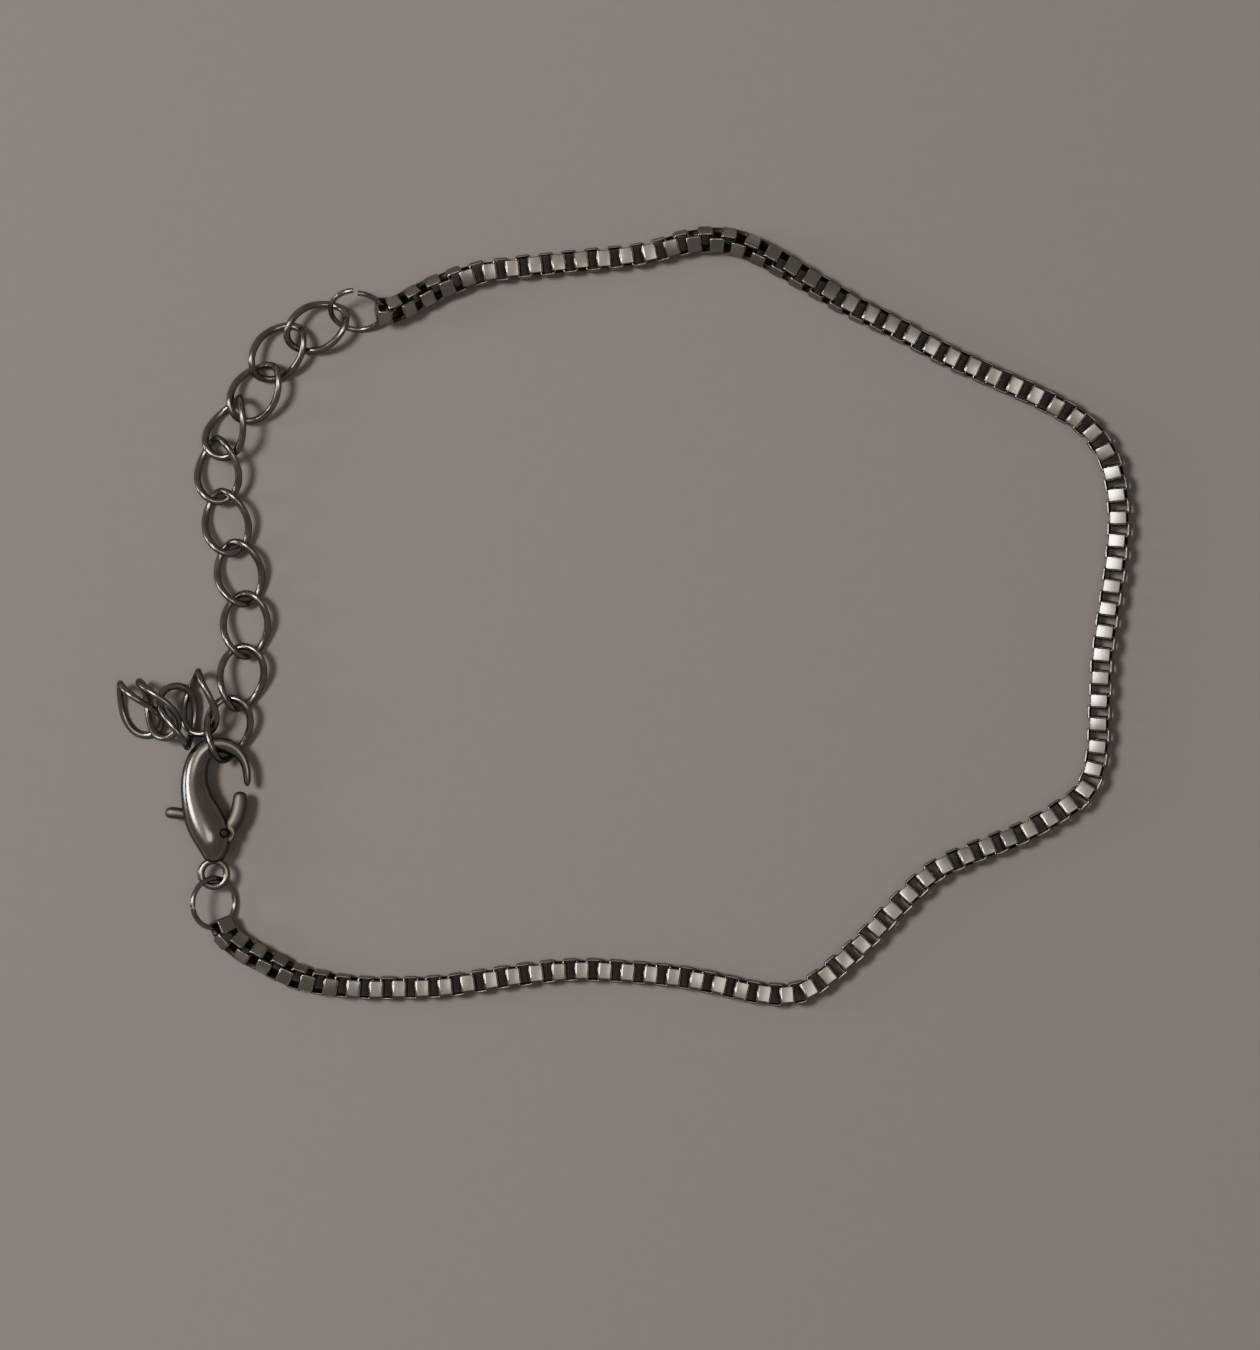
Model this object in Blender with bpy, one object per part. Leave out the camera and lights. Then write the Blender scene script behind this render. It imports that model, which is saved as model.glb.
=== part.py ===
"""Bracelet: a box chain with a lobster clasp and an extender chain, lying closed on a flat surface.

Metres, +Z up. The origin is the bottom centre of the bounding box, on the surface it lies on. +Y runs
from the clasp's eye to its hook, and the clasp is at the left, at -X, seen from above.
"""

import math

import bmesh
import bpy
from mathutils import Matrix, Vector

MM = 0.001

# Box chain: square links bent from flat strip, each a quarter turn from its neighbours
BOX_LENGTH = 1.25 * MM
BOX_HEIGHT = 1.77 * MM
BOX_WIDTH = 1.23 * MM
BOX_STRIP = 0.20 * MM
BOX_BITE = 0.03 * MM
BOX_REST = 0.025 * MM

# Extender: curb links of round wire, twisted about their long axis
LINK_LENGTH = 5.40 * MM
LINK_WIDTH = 3.95 * MM
LINK_WIRE = 0.55 * MM
LINK_TWIST = math.radians(-45)
LINK_POINTS = 14

# Jump rings of round wire, cut once
RING_WIRE = 0.40 * MM
RING_POINTS = 16
EXTENDER_RING_WIDTH = 4.40 * MM
EXTENDER_RING_CUT = 0.35 * MM
EXTENDER_RING_OFFSET = 0.30 * MM
CLASP_RING_WIDTH = 4.20 * MM
CLASP_RING_CUT = 0.12 * MM
CLASP_RING_OFFSET = 0.0

# Lobster clasp
CLASP_LENGTH = 12.0 * MM
CLASP_WIDTH = 5.46 * MM
CLASP_THICKNESS = 3.0 * MM
CLASP_SIDES = 12
CLASP_RIDGE = 0.35
EYE_WIDTH = 2.52 * MM
EYE_WIRE = 0.54 * MM
EYE_POINTS = 14
PIVOT_X = 0.92 * MM
PIVOT_Y = 3.15 * MM
PIN_RADIUS = 0.30 * MM
PIN_GAP = 0.08 * MM
PIN_LENGTH = 2.2 * MM
LEVER_THICKNESS = 0.80 * MM
LEVER_GAP = 0.12 * MM
HUB_RADIUS = 0.68 * MM
SLOT_ABOVE = 2.35 * MM
SLOT_BELOW = 0.85 * MM
SLOT_REACH = 5.0 * MM
ROUND_SIDES = 12
SHARP_ANGLE = math.radians(40)

# Where the middle of the clasp's eye lies, and where the routes have the hook's bend: x mm, y mm. With
# a longer clasp, all that lies beyond the hook moves along, and the box chain beside the clasp stretches
EYE_PLACE = (-31.5, -19.8)
HOOK_PLACE = (-31.5, -9.864)

# Route of the box chain from the extender to the clasp: x mm, y mm, roll in degrees, lift mm
CHAIN_ROUTE = [
    (-18.42, 23.42, 47, 0.75),
    (-17.5, 23.55, 46, 0.55),
    (-16.0, 24.4, 42, 0.15),
    (-14.2, 25.3, 35, 0.0),
    (-11.1, 26.4, 12, 0.0),
    (-7.2, 26.9, 2, 0.0),
    (-3.4, 27.3, 0, 0.0),
    (1.2, 27.8, 4, 0.0),
    (5.1, 28.8, 22, 0.0),
    (8.2, 28.8, 45, 0.0),
    (10.8, 27.8, 62, 0.0),
    (13.5, 26.2, 75, 0.0),
    (17.4, 23.9, 84, 0.0),
    (21.2, 22.0, 88, 0.0),
    (25.1, 19.9, 90, 0.0),
    (28.9, 18.2, 94, 0.0),
    (32.8, 16.4, 98, 0.0),
    (35.5, 14.7, 102, 0.0),
    (37.0, 12.8, 104, 0.0),
    (37.8, 10.5, 104, 0.0),
    (38.1, 7.4, 104, 0.0),
    (37.8, 3.8, 104, 0.0),
    (37.2, -0.3, 103, 0.0),
    (36.8, -3.4, 102, 0.0),
    (36.6, -7.2, 102, 0.0),
    (36.4, -10.7, 102, 0.0),
    (35.5, -13.4, 102, 0.0),
    (33.5, -15.1, 102, 0.0),
    (30.5, -16.8, 102, 0.0),
    (27.0, -18.2, 102, 0.0),
    (23.9, -19.7, 100, 0.0),
    (21.2, -22.2, 98, 0.0),
    (18.2, -25.3, 95, 0.0),
    (15.1, -28.0, 92, 0.0),
    (13.2, -29.0, 90, 0.0),
    (10.5, -29.0, 90, 0.0),
    (5.8, -28.0, 90, 0.0),
    (2.0, -27.5, 90, 0.0),
    (-3.4, -27.2, 90, 0.0),
    (-8.0, -27.6, 90, 0.0),
    (-13.4, -28.4, 90, 0.0),
    (-17.2, -28.6, 90, 0.0),
    (-21.1, -28.5, 86, 0.0),
    (-24.9, -27.8, 70, 0.0),
    (-27.6, -26.5, 54, 0.0),
    (-29.4, -25.5, 42, 0.0),
    (-30.5, -24.6, 37, 0.0),
    (-30.9, -23.88, 35, 0.0),
]
ROUTE_STEPS = 12

# Middle of the bounding box in the numbers of the routes and places: x mm, y mm
ROUTE_MIDDLE = (0.065, 0.0)

# Route of the extender: x mm, y mm, z mm of each link's middle, then its heading, pitch and roll
LINK_ROUTE = [
    (-23.6, 22.2, 1.3, 206, 0, 0),
    (-26.6, 20.3, 1.1, 228, 0, 0),
    (-28.3, 17.2, 1.2, 235, 0, 10),
    (-30.4, 14.5, 1.6, 248, 0, 38),
    (-31.2, 11.2, 1.4, 272, 0, 20),
    (-30.6, 7.2, 1.15, 281, 0, 10),
    (-29.6, 3.3, 1.0, 281, 0, 0),
    (-29.1, -0.7, 1.15, 270, 0, -8),
    (-29.4, -4.75, 1.35, 260, 0, -20),
    (-30.4, -8.7, 1.62, 260, 0, -26),
    (-32.59, -6.68, 1.76, 270.55, 7.93, 45.21),
    (-34.04, -7.71, 1.9, 283.76, -10.71, -55.42),
    (-35.9, -7.1, 1.95, 301.6, -5.7, 56.22),
    (-37.39, -7.17, 1.42, 300.29, 27.09, 46.89),
]

# Where the jump rings lie: x mm, y mm, z mm of the middle, then heading, pitch and roll in degrees
EXTENDER_RING_PLACE = (-20.5, 23.4, 1.85, 0, 0, 49)
CLASP_RING_PLACE = (-31.5, -22.05, 1.50, 0, 38, 0)

# Height of the hook's bend above the eye, as a share of the clasp's length
HOOK_BEND = 0.828

# Clasp body from the hook's tip round to the eye: middle x as a share of the clasp's width, middle y
# as a share of its length, then half width and half thickness as shares of width and thickness
BODY_SECTIONS = [
    (0.469, 0.555, 0.046, 0.130),
    (0.468, 0.641, 0.059, 0.160),
    (0.440, 0.709, 0.062, 0.183),
    (0.354, 0.773, 0.089, 0.195),
    (0.232, 0.812, 0.112, 0.190),
    (0.070, HOOK_BEND, 0.118, 0.195),
    (-0.085, 0.806, 0.150, 0.225),
    (-0.218, 0.744, 0.176, 0.285),
    (-0.279, 0.615, 0.194, 0.350),
    (-0.239, 0.487, 0.232, 0.417),
    (-0.127, 0.359, 0.310, 0.483),
    (0.000, 0.244, 0.300, 0.500),
    (0.014, 0.167, 0.240, 0.450),
    (0.007, 0.103, 0.165, 0.300),
    (0.000, 0.070, 0.100, 0.170),
]

# Lever, in the same columns: its gate from the tip to the hub, and its arm from the tab to the hub.
# Half thicknesses are shares of the lever's own thickness
GATE_SECTIONS = [
    (0.372, 0.530, 0.090, 0.40),
    (0.375, 0.460, 0.115, 0.50),
    (0.325, 0.350, 0.120, 0.50),
    (0.169, 0.262, 0.110, 0.50),
]
ARM_SECTIONS = [
    (-0.698, 0.391, 0.095, 0.40),
    (-0.465, 0.391, 0.085, 0.45),
    (-0.127, 0.343, 0.070, 0.45),
    (0.169, 0.262, 0.070, 0.45),
]


def clear_scene():
    """Removes every object of the scene that Blender starts with."""
    for obj in list(bpy.data.objects):
        bpy.data.objects.remove(obj, do_unlink=True)


def metal(name, colour, roughness):
    """A plain metal material."""
    material = bpy.data.materials.new(name)
    material.use_nodes = True
    shader = material.node_tree.nodes["Principled BSDF"]
    shader.inputs["Base Color"].default_value = (*colour, 1.0)
    shader.inputs["Metallic"].default_value = 1.0
    shader.inputs["Roughness"].default_value = roughness
    return material


def add_object(name, data, material):
    """Puts a mesh or curve into the scene as one named object with its material."""
    data.materials.append(material)
    obj = bpy.data.objects.new(name, data)
    bpy.context.scene.collection.objects.link(obj)
    return obj


def add_mesh(name, shape, material, matrix=Matrix.Identity(4)):
    """Turns a bmesh into a named object at its place, with its faces pointing out."""
    bmesh.ops.recalc_face_normals(shape, faces=shape.faces)
    mesh = bpy.data.meshes.new(name)
    shape.to_mesh(mesh)
    shape.free()
    mesh.shade_smooth()
    mesh.set_sharp_from_angle(angle=SHARP_ANGLE)
    obj = add_object(name, mesh, material)
    obj.matrix_world = matrix
    return obj


def combine(obj, other, operation):
    """A Boolean between two objects, whose second is only a helper."""
    modifier = obj.modifiers.new(operation.title() + " " + other.name, "BOOLEAN")
    modifier.operation = operation
    modifier.solver = "EXACT"
    modifier.object = other
    other.hide_render = True
    other.display_type = "WIRE"


def turned(place, heading, pitch, roll):
    """The matrix of a piece at a place, turned about its long axis, then tilted, then headed."""
    turn = Matrix.Rotation(math.radians(heading), 4, "Z")
    turn = turn @ Matrix.Rotation(math.radians(pitch), 4, "Y")
    turn = turn @ Matrix.Rotation(math.radians(roll), 4, "X")
    return Matrix.Translation(Vector(place)) @ turn


def placed(row):
    """The matrix of one row of a place list, whose first three numbers are millimetres."""
    x, y, z, heading, pitch, roll = row
    return turned(route_point(x, y, z), heading, pitch, roll)


def route_point(x, y, z):
    """A place of a route, in its own millimetres, as a point of the part."""
    share = (y - EYE_PLACE[1]) / (HOOK_PLACE[1] - EYE_PLACE[1])
    hook_move = EYE_PLACE[1] + HOOK_BEND * CLASP_LENGTH / MM - HOOK_PLACE[1]
    y_moved = y + hook_move * min(max(share, 0), 1)
    return Vector((x - ROUTE_MIDDLE[0], y_moved - ROUTE_MIDDLE[1], z)) * MM


def smooth_route(points, steps):
    """A Catmull-Rom curve through rows of numbers, as rows at even steps between them."""
    rows = [points[0], *points, points[-1]]
    curve = []
    for i in range(1, len(rows) - 2):
        for step in range(steps):
            t = step / steps
            curve.append([between(rows[i - 1 : i + 3], t, k) for k in range(len(points[0]))])
    curve.append(list(points[-1]))
    return curve


def between(four, t, column):
    """Value of one column at share t of the way between the second and third of four rows."""
    before, start, end, after = (row[column] for row in four)
    straight = 2 * start + (end - before) * t
    square = (2 * before - 5 * start + 4 * end - after) * t**2
    cube = (3 * start - before - 3 * end + after) * t**3
    return 0.5 * (straight + square + cube)


def box_link_stations():
    """Matrix of every box link along the route: +X along the chain, Z across it, rolled about X."""
    curve = smooth_route(CHAIN_ROUTE, ROUTE_STEPS)
    path = [rest_point(x, y, roll, lift) for x, y, roll, lift in curve]
    rolls = [row[2] for row in curve]
    lengths = [0.0]
    for before, after in zip(path, path[1:]):
        lengths.append(lengths[-1] + (after - before).length)
    taut_pitch = BOX_LENGTH - 2 * BOX_STRIP + BOX_BITE
    gaps = 2 * int(lengths[-1] / (2 * taut_pitch))
    stations = []
    segment = 0
    for i in range(gaps + 1):
        distance = lengths[-1] * i / gaps
        while segment < len(lengths) - 2 and lengths[segment + 1] < distance:
            segment += 1
        share = (distance - lengths[segment]) / (lengths[segment + 1] - lengths[segment])
        point = path[segment].lerp(path[segment + 1], share)
        roll = rolls[segment] + (rolls[segment + 1] - rolls[segment]) * share
        before = path[max(segment - ROUTE_STEPS // 4, 0)]
        after = path[min(segment + 1 + ROUTE_STEPS // 4, len(path) - 1)]
        along = (after - before).normalized()
        side = Vector((0, 0, 1)).cross(along).normalized()
        frame = Matrix((along, side, along.cross(side))).transposed().to_4x4()
        stations.append(Matrix.Translation(point) @ frame @ Matrix.Rotation(math.radians(roll), 4, "X"))
    return stations


def rest_point(x, y, roll, lift):
    """Middle of a box link that lies on the surface at this roll, with room below for its tilt."""
    sine = abs(math.sin(math.radians(roll)))
    cosine = abs(math.cos(math.radians(roll)))
    upright = (BOX_HEIGHT * cosine + BOX_WIDTH * sine) / 2
    flat = (BOX_WIDTH * cosine + BOX_HEIGHT * sine) / 2
    return route_point(x, y, lift + (max(upright, flat) + BOX_REST) / MM)


def add_box_link(shape, station):
    """One square ring of flat strip: its opening faces sideways, along the station's Y."""
    rings = []
    for corner_x, corner_z in ((1, 1), (-1, 1), (-1, -1), (1, -1)):
        outer_x = corner_x * BOX_LENGTH / 2
        outer_z = corner_z * BOX_HEIGHT / 2
        inner_x = outer_x - corner_x * BOX_STRIP
        inner_z = outer_z - corner_z * BOX_STRIP
        corners = [
            (outer_x, -BOX_WIDTH / 2, outer_z),
            (outer_x, BOX_WIDTH / 2, outer_z),
            (inner_x, BOX_WIDTH / 2, inner_z),
            (inner_x, -BOX_WIDTH / 2, inner_z),
        ]
        rings.append([shape.verts.new(station @ Vector(corner)) for corner in corners])
    join_rings(shape, rings, closed=True)


def join_rings(shape, rings, closed):
    """Quads between neighbouring rings of vertices. An open row of rings gets its two caps."""
    count = len(rings[0])
    following = rings[1:] + rings[:1] if closed else rings[1:]
    for ring, after in zip(rings, following):
        for k in range(count):
            n = (k + 1) % count
            shape.faces.new((ring[k], ring[n], after[n], after[k]))
    if not closed:
        shape.faces.new(rings[0])
        shape.faces.new(reversed(rings[-1]))


def build_box_chain():
    """The main chain, with neighbouring links pressed together so that it is one body."""
    steel = metal("box_chain_steel", (0.66, 0.63, 0.58), 0.25)
    stations = box_link_stations()
    quarter = Matrix.Rotation(math.radians(90), 4, "X")
    upright = bmesh.new()
    flat = bmesh.new()
    for i, station in enumerate(stations):
        if i % 2:
            add_box_link(flat, station @ quarter)
        else:
            add_box_link(upright, station)
    chain = add_mesh("box_chain", upright, steel)
    helper = add_mesh("box_chain_other_links", flat, steel)
    combine(chain, helper, "UNION")
    return chain


def add_wire(name, points, wire, closed, material, matrix):
    """A bent wire through points, six-sided, closed or with filled ends."""
    curve = bpy.data.curves.new(name, "CURVE")
    curve.dimensions = "3D"
    curve.bevel_depth = wire / 2
    curve.bevel_resolution = 1
    curve.use_fill_caps = not closed
    spline = curve.splines.new("POLY")
    spline.points.add(len(points) - 1)
    for target, point in zip(spline.points, points):
        target.co = (*point, 1.0)
    spline.use_cyclic_u = closed
    spline.use_smooth = True
    obj = add_object(name, curve, material)
    obj.matrix_world = matrix
    return obj


def curb_points():
    """Middle line of an extender link: an oval twisted about its long axis."""
    points = []
    for i in range(LINK_POINTS):
        angle = 2 * math.pi * i / LINK_POINTS
        twist = LINK_TWIST * math.cos(angle)
        across = (LINK_WIDTH - LINK_WIRE) / 2 * math.sin(angle)
        along = (LINK_LENGTH - LINK_WIRE) / 2 * math.cos(angle)
        points.append((along, across * math.cos(twist), across * math.sin(twist)))
    return points


def build_extender():
    """The links of the extender, the hooked one and the free tail among them."""
    steel = metal("extender_steel", (0.62, 0.60, 0.57), 0.22)
    points = curb_points()
    for number, row in enumerate(LINK_ROUTE, start=1):
        add_wire(f"extender_link_{number:02d}", points, LINK_WIRE, True, steel, placed(row))


def ring_points(width, cut_angle, cut, offset):
    """Middle line of a cut jump ring, from one side of its cut to the other, out of line by the offset."""
    radius = (width - RING_WIRE) / 2
    start = cut_angle + cut / 2 / radius
    turn = 2 * math.pi - cut / radius
    points = []
    for i in range(RING_POINTS + 1):
        share = i / RING_POINTS
        angle = start + turn * share
        points.append((radius * math.cos(angle), radius * math.sin(angle), offset * (share - 0.5)))
    return points


def build_rings():
    """The two jump rings that tie the box chain to the extender and to the clasp."""
    steel = metal("ring_steel", (0.68, 0.65, 0.60), 0.2)
    top_cut = ring_points(EXTENDER_RING_WIDTH, math.radians(90), EXTENDER_RING_CUT, EXTENDER_RING_OFFSET)
    add_wire("extender_ring", top_cut, RING_WIRE, False, steel, placed(EXTENDER_RING_PLACE))
    side_cut = ring_points(CLASP_RING_WIDTH, math.radians(190), CLASP_RING_CUT, CLASP_RING_OFFSET)
    add_wire("clasp_ring", side_cut, RING_WIRE, False, steel, placed(CLASP_RING_PLACE))


def clasp_matrix():
    """Where the clasp lies: its eye's middle, with its thickest part on the surface."""
    return Matrix.Translation(route_point(*EYE_PLACE, CLASP_THICKNESS / 2 / MM))


def pivot_matrix():
    """The lever's pivot: its Z axis is the axis of the joint."""
    return clasp_matrix() @ Matrix.Translation((PIVOT_X, PIVOT_Y, 0))


def add_limb(name, shares, thickness, ridge, origin, material, matrix):
    """A limb of ovals along a bent line in the clasp's middle plane, their ridges moved to the right."""
    middles = [Vector((x * CLASP_WIDTH, y * CLASP_LENGTH, 0)) - origin for x, y, _, _ in shares]
    shape = bmesh.new()
    rings = []
    for i, (_, _, width_share, thickness_share) in enumerate(shares):
        along = middles[min(i + 1, len(middles) - 1)] - middles[max(i - 1, 0)]
        across = Vector((along.y, -along.x, 0.0)).normalized() * (width_share * CLASP_WIDTH)
        upright = Vector((0, 0, thickness_share * thickness))
        ring = []
        for k in range(CLASP_SIDES):
            angle = 2 * math.pi * (k + 0.5) / CLASP_SIDES
            sideways = math.cos(angle) + ridge * math.sin(angle) ** 2
            point = middles[i] + across * sideways + upright * math.sin(angle)
            ring.append(shape.verts.new(point))
        rings.append(ring)
    join_rings(shape, rings, closed=False)
    return add_mesh(name, shape, material, matrix)


def add_cylinder(name, radius, height, material, matrix):
    """A plain round bar about its own Z axis."""
    shape = bmesh.new()
    bmesh.ops.create_cone(
        shape,
        cap_ends=True,
        segments=ROUND_SIDES,
        radius1=radius,
        radius2=radius,
        depth=height,
    )
    return add_mesh(name, shape, material, matrix)


def add_box(name, size, middle, material, matrix):
    """A plain block about a point of its own frame."""
    shape = bmesh.new()
    bmesh.ops.create_cube(shape, size=1.0, matrix=Matrix.Translation(middle) @ Matrix.Diagonal((*size, 1.0)))
    return add_mesh(name, shape, material, matrix)


def build_clasp_body():
    """Hook, left limb, swollen base and eye, with the lever's slot and the pin's hole cut through.
    The limb's ridge lies towards its outer side."""
    steel = metal("clasp_steel", (0.64, 0.62, 0.58), 0.24)
    place = clasp_matrix()
    pivot = pivot_matrix()
    middle = Vector((0, 0, 0))
    body = add_limb("clasp_body", BODY_SECTIONS, CLASP_THICKNESS, CLASP_RIDGE, middle, steel, place)
    radius = (EYE_WIDTH - EYE_WIRE) / 2
    angles = [2 * math.pi * i / EYE_POINTS for i in range(EYE_POINTS)]
    circle = [(radius * math.cos(angle), radius * math.sin(angle), 0.0) for angle in angles]
    eye = add_wire("clasp_eye", circle, EYE_WIRE, True, steel, place)
    combine(body, mesh_copy(eye), "UNION")
    slot_size = (2 * SLOT_REACH, SLOT_ABOVE + SLOT_BELOW, LEVER_THICKNESS + 2 * LEVER_GAP)
    slot_middle = Vector((0, (SLOT_ABOVE - SLOT_BELOW) / 2, 0))
    combine(body, add_box("clasp_slot", slot_size, slot_middle, steel, pivot), "DIFFERENCE")
    hole = add_cylinder("clasp_hole", PIN_RADIUS + PIN_GAP, 2 * CLASP_THICKNESS, steel, pivot)
    combine(body, hole, "DIFFERENCE")
    return body


def build_clasp_lever():
    """Gate, hub and thumb tab in one, about the pivot."""
    steel = metal("lever_steel", (0.60, 0.58, 0.55), 0.30)
    pivot = pivot_matrix()
    origin = Vector((PIVOT_X, PIVOT_Y, 0))
    lever = add_cylinder("clasp_lever", HUB_RADIUS, LEVER_THICKNESS, steel, pivot)
    gate = add_limb("lever_gate", GATE_SECTIONS, LEVER_THICKNESS, 0.0, origin, steel, pivot)
    combine(lever, gate, "UNION")
    arm = add_limb("lever_arm", ARM_SECTIONS, LEVER_THICKNESS, 0.0, origin, steel, pivot)
    combine(lever, arm, "UNION")
    hole = add_cylinder("lever_hole", PIN_RADIUS + PIN_GAP, 2 * LEVER_THICKNESS, steel, pivot)
    combine(lever, hole, "DIFFERENCE")
    return lever


def build_clasp_pin():
    """The rivet through the body's two cheeks and the lever's hub."""
    steel = metal("pin_steel", (0.5, 0.48, 0.45), 0.35)
    return add_cylinder("clasp_pin", PIN_RADIUS, PIN_LENGTH, steel, pivot_matrix())


def mesh_copy(obj):
    """The mesh of a curve object as an object of its own, in its place."""
    bpy.context.view_layer.update()
    graph = bpy.context.evaluated_depsgraph_get()
    mesh = bpy.data.meshes.new_from_object(obj.evaluated_get(graph))
    copy = bpy.data.objects.new(obj.name + "_mesh", mesh)
    copy.matrix_world = obj.matrix_world
    bpy.context.scene.collection.objects.link(copy)
    bpy.data.objects.remove(obj, do_unlink=True)
    return copy


def main():
    clear_scene()
    build_box_chain()
    build_extender()
    build_rings()
    build_clasp_body()
    build_clasp_lever()
    build_clasp_pin()


if __name__ == "__main__":
    main()
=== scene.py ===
"""Looks of a box chain bracelet with a lobster clasp and an extender chain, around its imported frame."""

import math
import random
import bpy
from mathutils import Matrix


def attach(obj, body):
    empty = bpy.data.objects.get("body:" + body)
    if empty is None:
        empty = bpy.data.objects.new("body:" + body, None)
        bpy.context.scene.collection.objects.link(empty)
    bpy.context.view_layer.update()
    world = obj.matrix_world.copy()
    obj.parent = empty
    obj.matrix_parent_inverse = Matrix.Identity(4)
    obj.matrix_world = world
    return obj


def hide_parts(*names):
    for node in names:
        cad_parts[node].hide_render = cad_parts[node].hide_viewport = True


bl_info = {
    "name": "Box Chain Bracelet",
    "version": (1, 0, 0),
    "blender": (4, 5, 0),
    "location": "3D View > Sidebar > Bracelet",
    "description": "Models and finishes a box chain bracelet with a lobster clasp and an extender chain",
    "category": "Add Mesh",
}

import bmesh
import bpy
from mathutils import Matrix, Vector

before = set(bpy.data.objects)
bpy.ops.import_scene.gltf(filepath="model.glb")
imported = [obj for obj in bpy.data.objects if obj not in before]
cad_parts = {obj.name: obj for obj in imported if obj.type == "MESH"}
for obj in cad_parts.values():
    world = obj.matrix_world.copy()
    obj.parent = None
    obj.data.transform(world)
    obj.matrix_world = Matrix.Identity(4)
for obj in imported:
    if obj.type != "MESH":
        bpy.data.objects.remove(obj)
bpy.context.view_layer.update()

MM = 0.001
FACING = 0.9  # least part of a normal along an axis that counts as facing it
BRACELET_BODY = "bracelet"
LEVER_BODY = "lever"

# Route of the box chain from the extender to the clasp: x mm, y mm, roll in degrees, lift mm
CHAIN_ROUTE = [
    (-18.42, 23.42, 47, 0.75),
    (-17.5, 23.55, 46, 0.55),
    (-16.0, 24.4, 42, 0.15),
    (-14.2, 25.3, 35, 0.0),
    (-11.1, 26.4, 12, 0.0),
    (-7.2, 26.9, 2, 0.0),
    (-3.4, 27.3, 0, 0.0),
    (1.2, 27.8, 4, 0.0),
    (5.1, 28.8, 22, 0.0),
    (8.2, 28.8, 45, 0.0),
    (10.8, 27.8, 62, 0.0),
    (13.5, 26.2, 75, 0.0),
    (17.4, 23.9, 84, 0.0),
    (21.2, 22.0, 88, 0.0),
    (25.1, 19.9, 90, 0.0),
    (28.9, 18.2, 94, 0.0),
    (32.8, 16.4, 98, 0.0),
    (35.5, 14.7, 102, 0.0),
    (37.0, 12.8, 104, 0.0),
    (37.8, 10.5, 104, 0.0),
    (38.1, 7.4, 104, 0.0),
    (37.8, 3.8, 104, 0.0),
    (37.2, -0.3, 103, 0.0),
    (36.8, -3.4, 102, 0.0),
    (36.6, -7.2, 102, 0.0),
    (36.4, -10.7, 102, 0.0),
    (35.5, -13.4, 102, 0.0),
    (33.5, -15.1, 102, 0.0),
    (30.5, -16.8, 102, 0.0),
    (27.0, -18.2, 102, 0.0),
    (23.9, -19.7, 100, 0.0),
    (21.2, -22.2, 98, 0.0),
    (18.2, -25.3, 95, 0.0),
    (15.1, -28.0, 92, 0.0),
    (13.2, -29.0, 90, 0.0),
    (10.5, -29.0, 90, 0.0),
    (5.8, -28.0, 90, 0.0),
    (2.0, -27.5, 90, 0.0),
    (-3.4, -27.2, 90, 0.0),
    (-8.0, -27.6, 90, 0.0),
    (-13.4, -28.4, 90, 0.0),
    (-17.2, -28.6, 90, 0.0),
    (-21.1, -28.5, 86, 0.0),
    (-24.9, -27.8, 70, 0.0),
    (-27.6, -26.5, 54, 0.0),
    (-29.4, -25.5, 42, 0.0),
    (-30.5, -24.6, 37, 0.0),
    (-30.9, -23.88, 35, 0.0),
]

# Steps between two route points, and counts of steps and sides of the finer shapes
ROUTE_STEPS = 12
RING_STEPS = 72
RING_SIDES = 14
SLACK_SEED = 5
LIMB_SIDES = 12
LIMB_LEVELS = 2
ROUND_SIDES = 32

# Middle of the whole bracelet in the columns of the routes
ROUTE_MIDDLE = (0.065, 0.0)

# Extender links: x mm, y mm, z mm of the middle, then heading, pitch and roll in degrees
LINK_ROUTE = [
    (-23.6, 22.2, 1.3, 206, 0, 0),
    (-26.6, 20.3, 1.1, 228, 0, 0),
    (-28.3, 17.2, 1.2, 235, 0, 10),
    (-30.4, 14.5, 1.6, 248, 0, 38),
    (-31.2, 11.2, 1.4, 272, 0, 20),
    (-30.6, 7.2, 1.15, 281, 0, 10),
    (-29.6, 3.3, 1.0, 281, 0, 0),
    (-29.1, -0.7, 1.15, 270, 0, -8),
    (-29.4, -4.75, 1.35, 260, 0, -20),
    (-30.4, -8.7, 1.62, 260, 0, -26),
    (-32.59, -6.68, 1.76, 270.55, 7.93, 45.21),
    (-34.04, -7.71, 1.9, 283.76, -10.71, -55.42),
    (-35.9, -7.1, 1.95, 301.6, -5.7, 56.22),
    (-37.39, -7.17, 1.42, 300.29, 27.09, 46.89),
]

# Jump rings in the same columns, where their cuts are in degrees, and the middle of the clasp's eye
EXTENDER_RING_PLACE = (-20.5, 23.4, 1.85, 0, 0, 49)
EXTENDER_RING_CUT_ANGLE = 90
CLASP_RING_PLACE = (-31.5, -22.05, 1.50, 0, 38, 0)
CLASP_RING_CUT_ANGLE = 190
EYE_PLACE = (-31.5, -19.8)

# Clasp body from the hook's tip round to the eye: middle x as a share of the clasp's width, middle y
# as a share of its length, then half width and half thickness as shares of width and thickness
BODY_SECTIONS = [
    (0.469, 0.555, 0.046, 0.130),
    (0.468, 0.641, 0.059, 0.160),
    (0.440, 0.709, 0.062, 0.183),
    (0.354, 0.773, 0.089, 0.195),
    (0.232, 0.812, 0.112, 0.190),
    (0.070, 0.828, 0.118, 0.195),
    (-0.085, 0.806, 0.150, 0.225),
    (-0.218, 0.744, 0.176, 0.285),
    (-0.279, 0.615, 0.194, 0.350),
    (-0.239, 0.487, 0.232, 0.417),
    (-0.127, 0.359, 0.310, 0.483),
    (0.000, 0.244, 0.300, 0.500),
    (0.014, 0.167, 0.240, 0.450),
    (0.007, 0.103, 0.165, 0.300),
    (0.000, 0.070, 0.100, 0.170),
]

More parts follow.
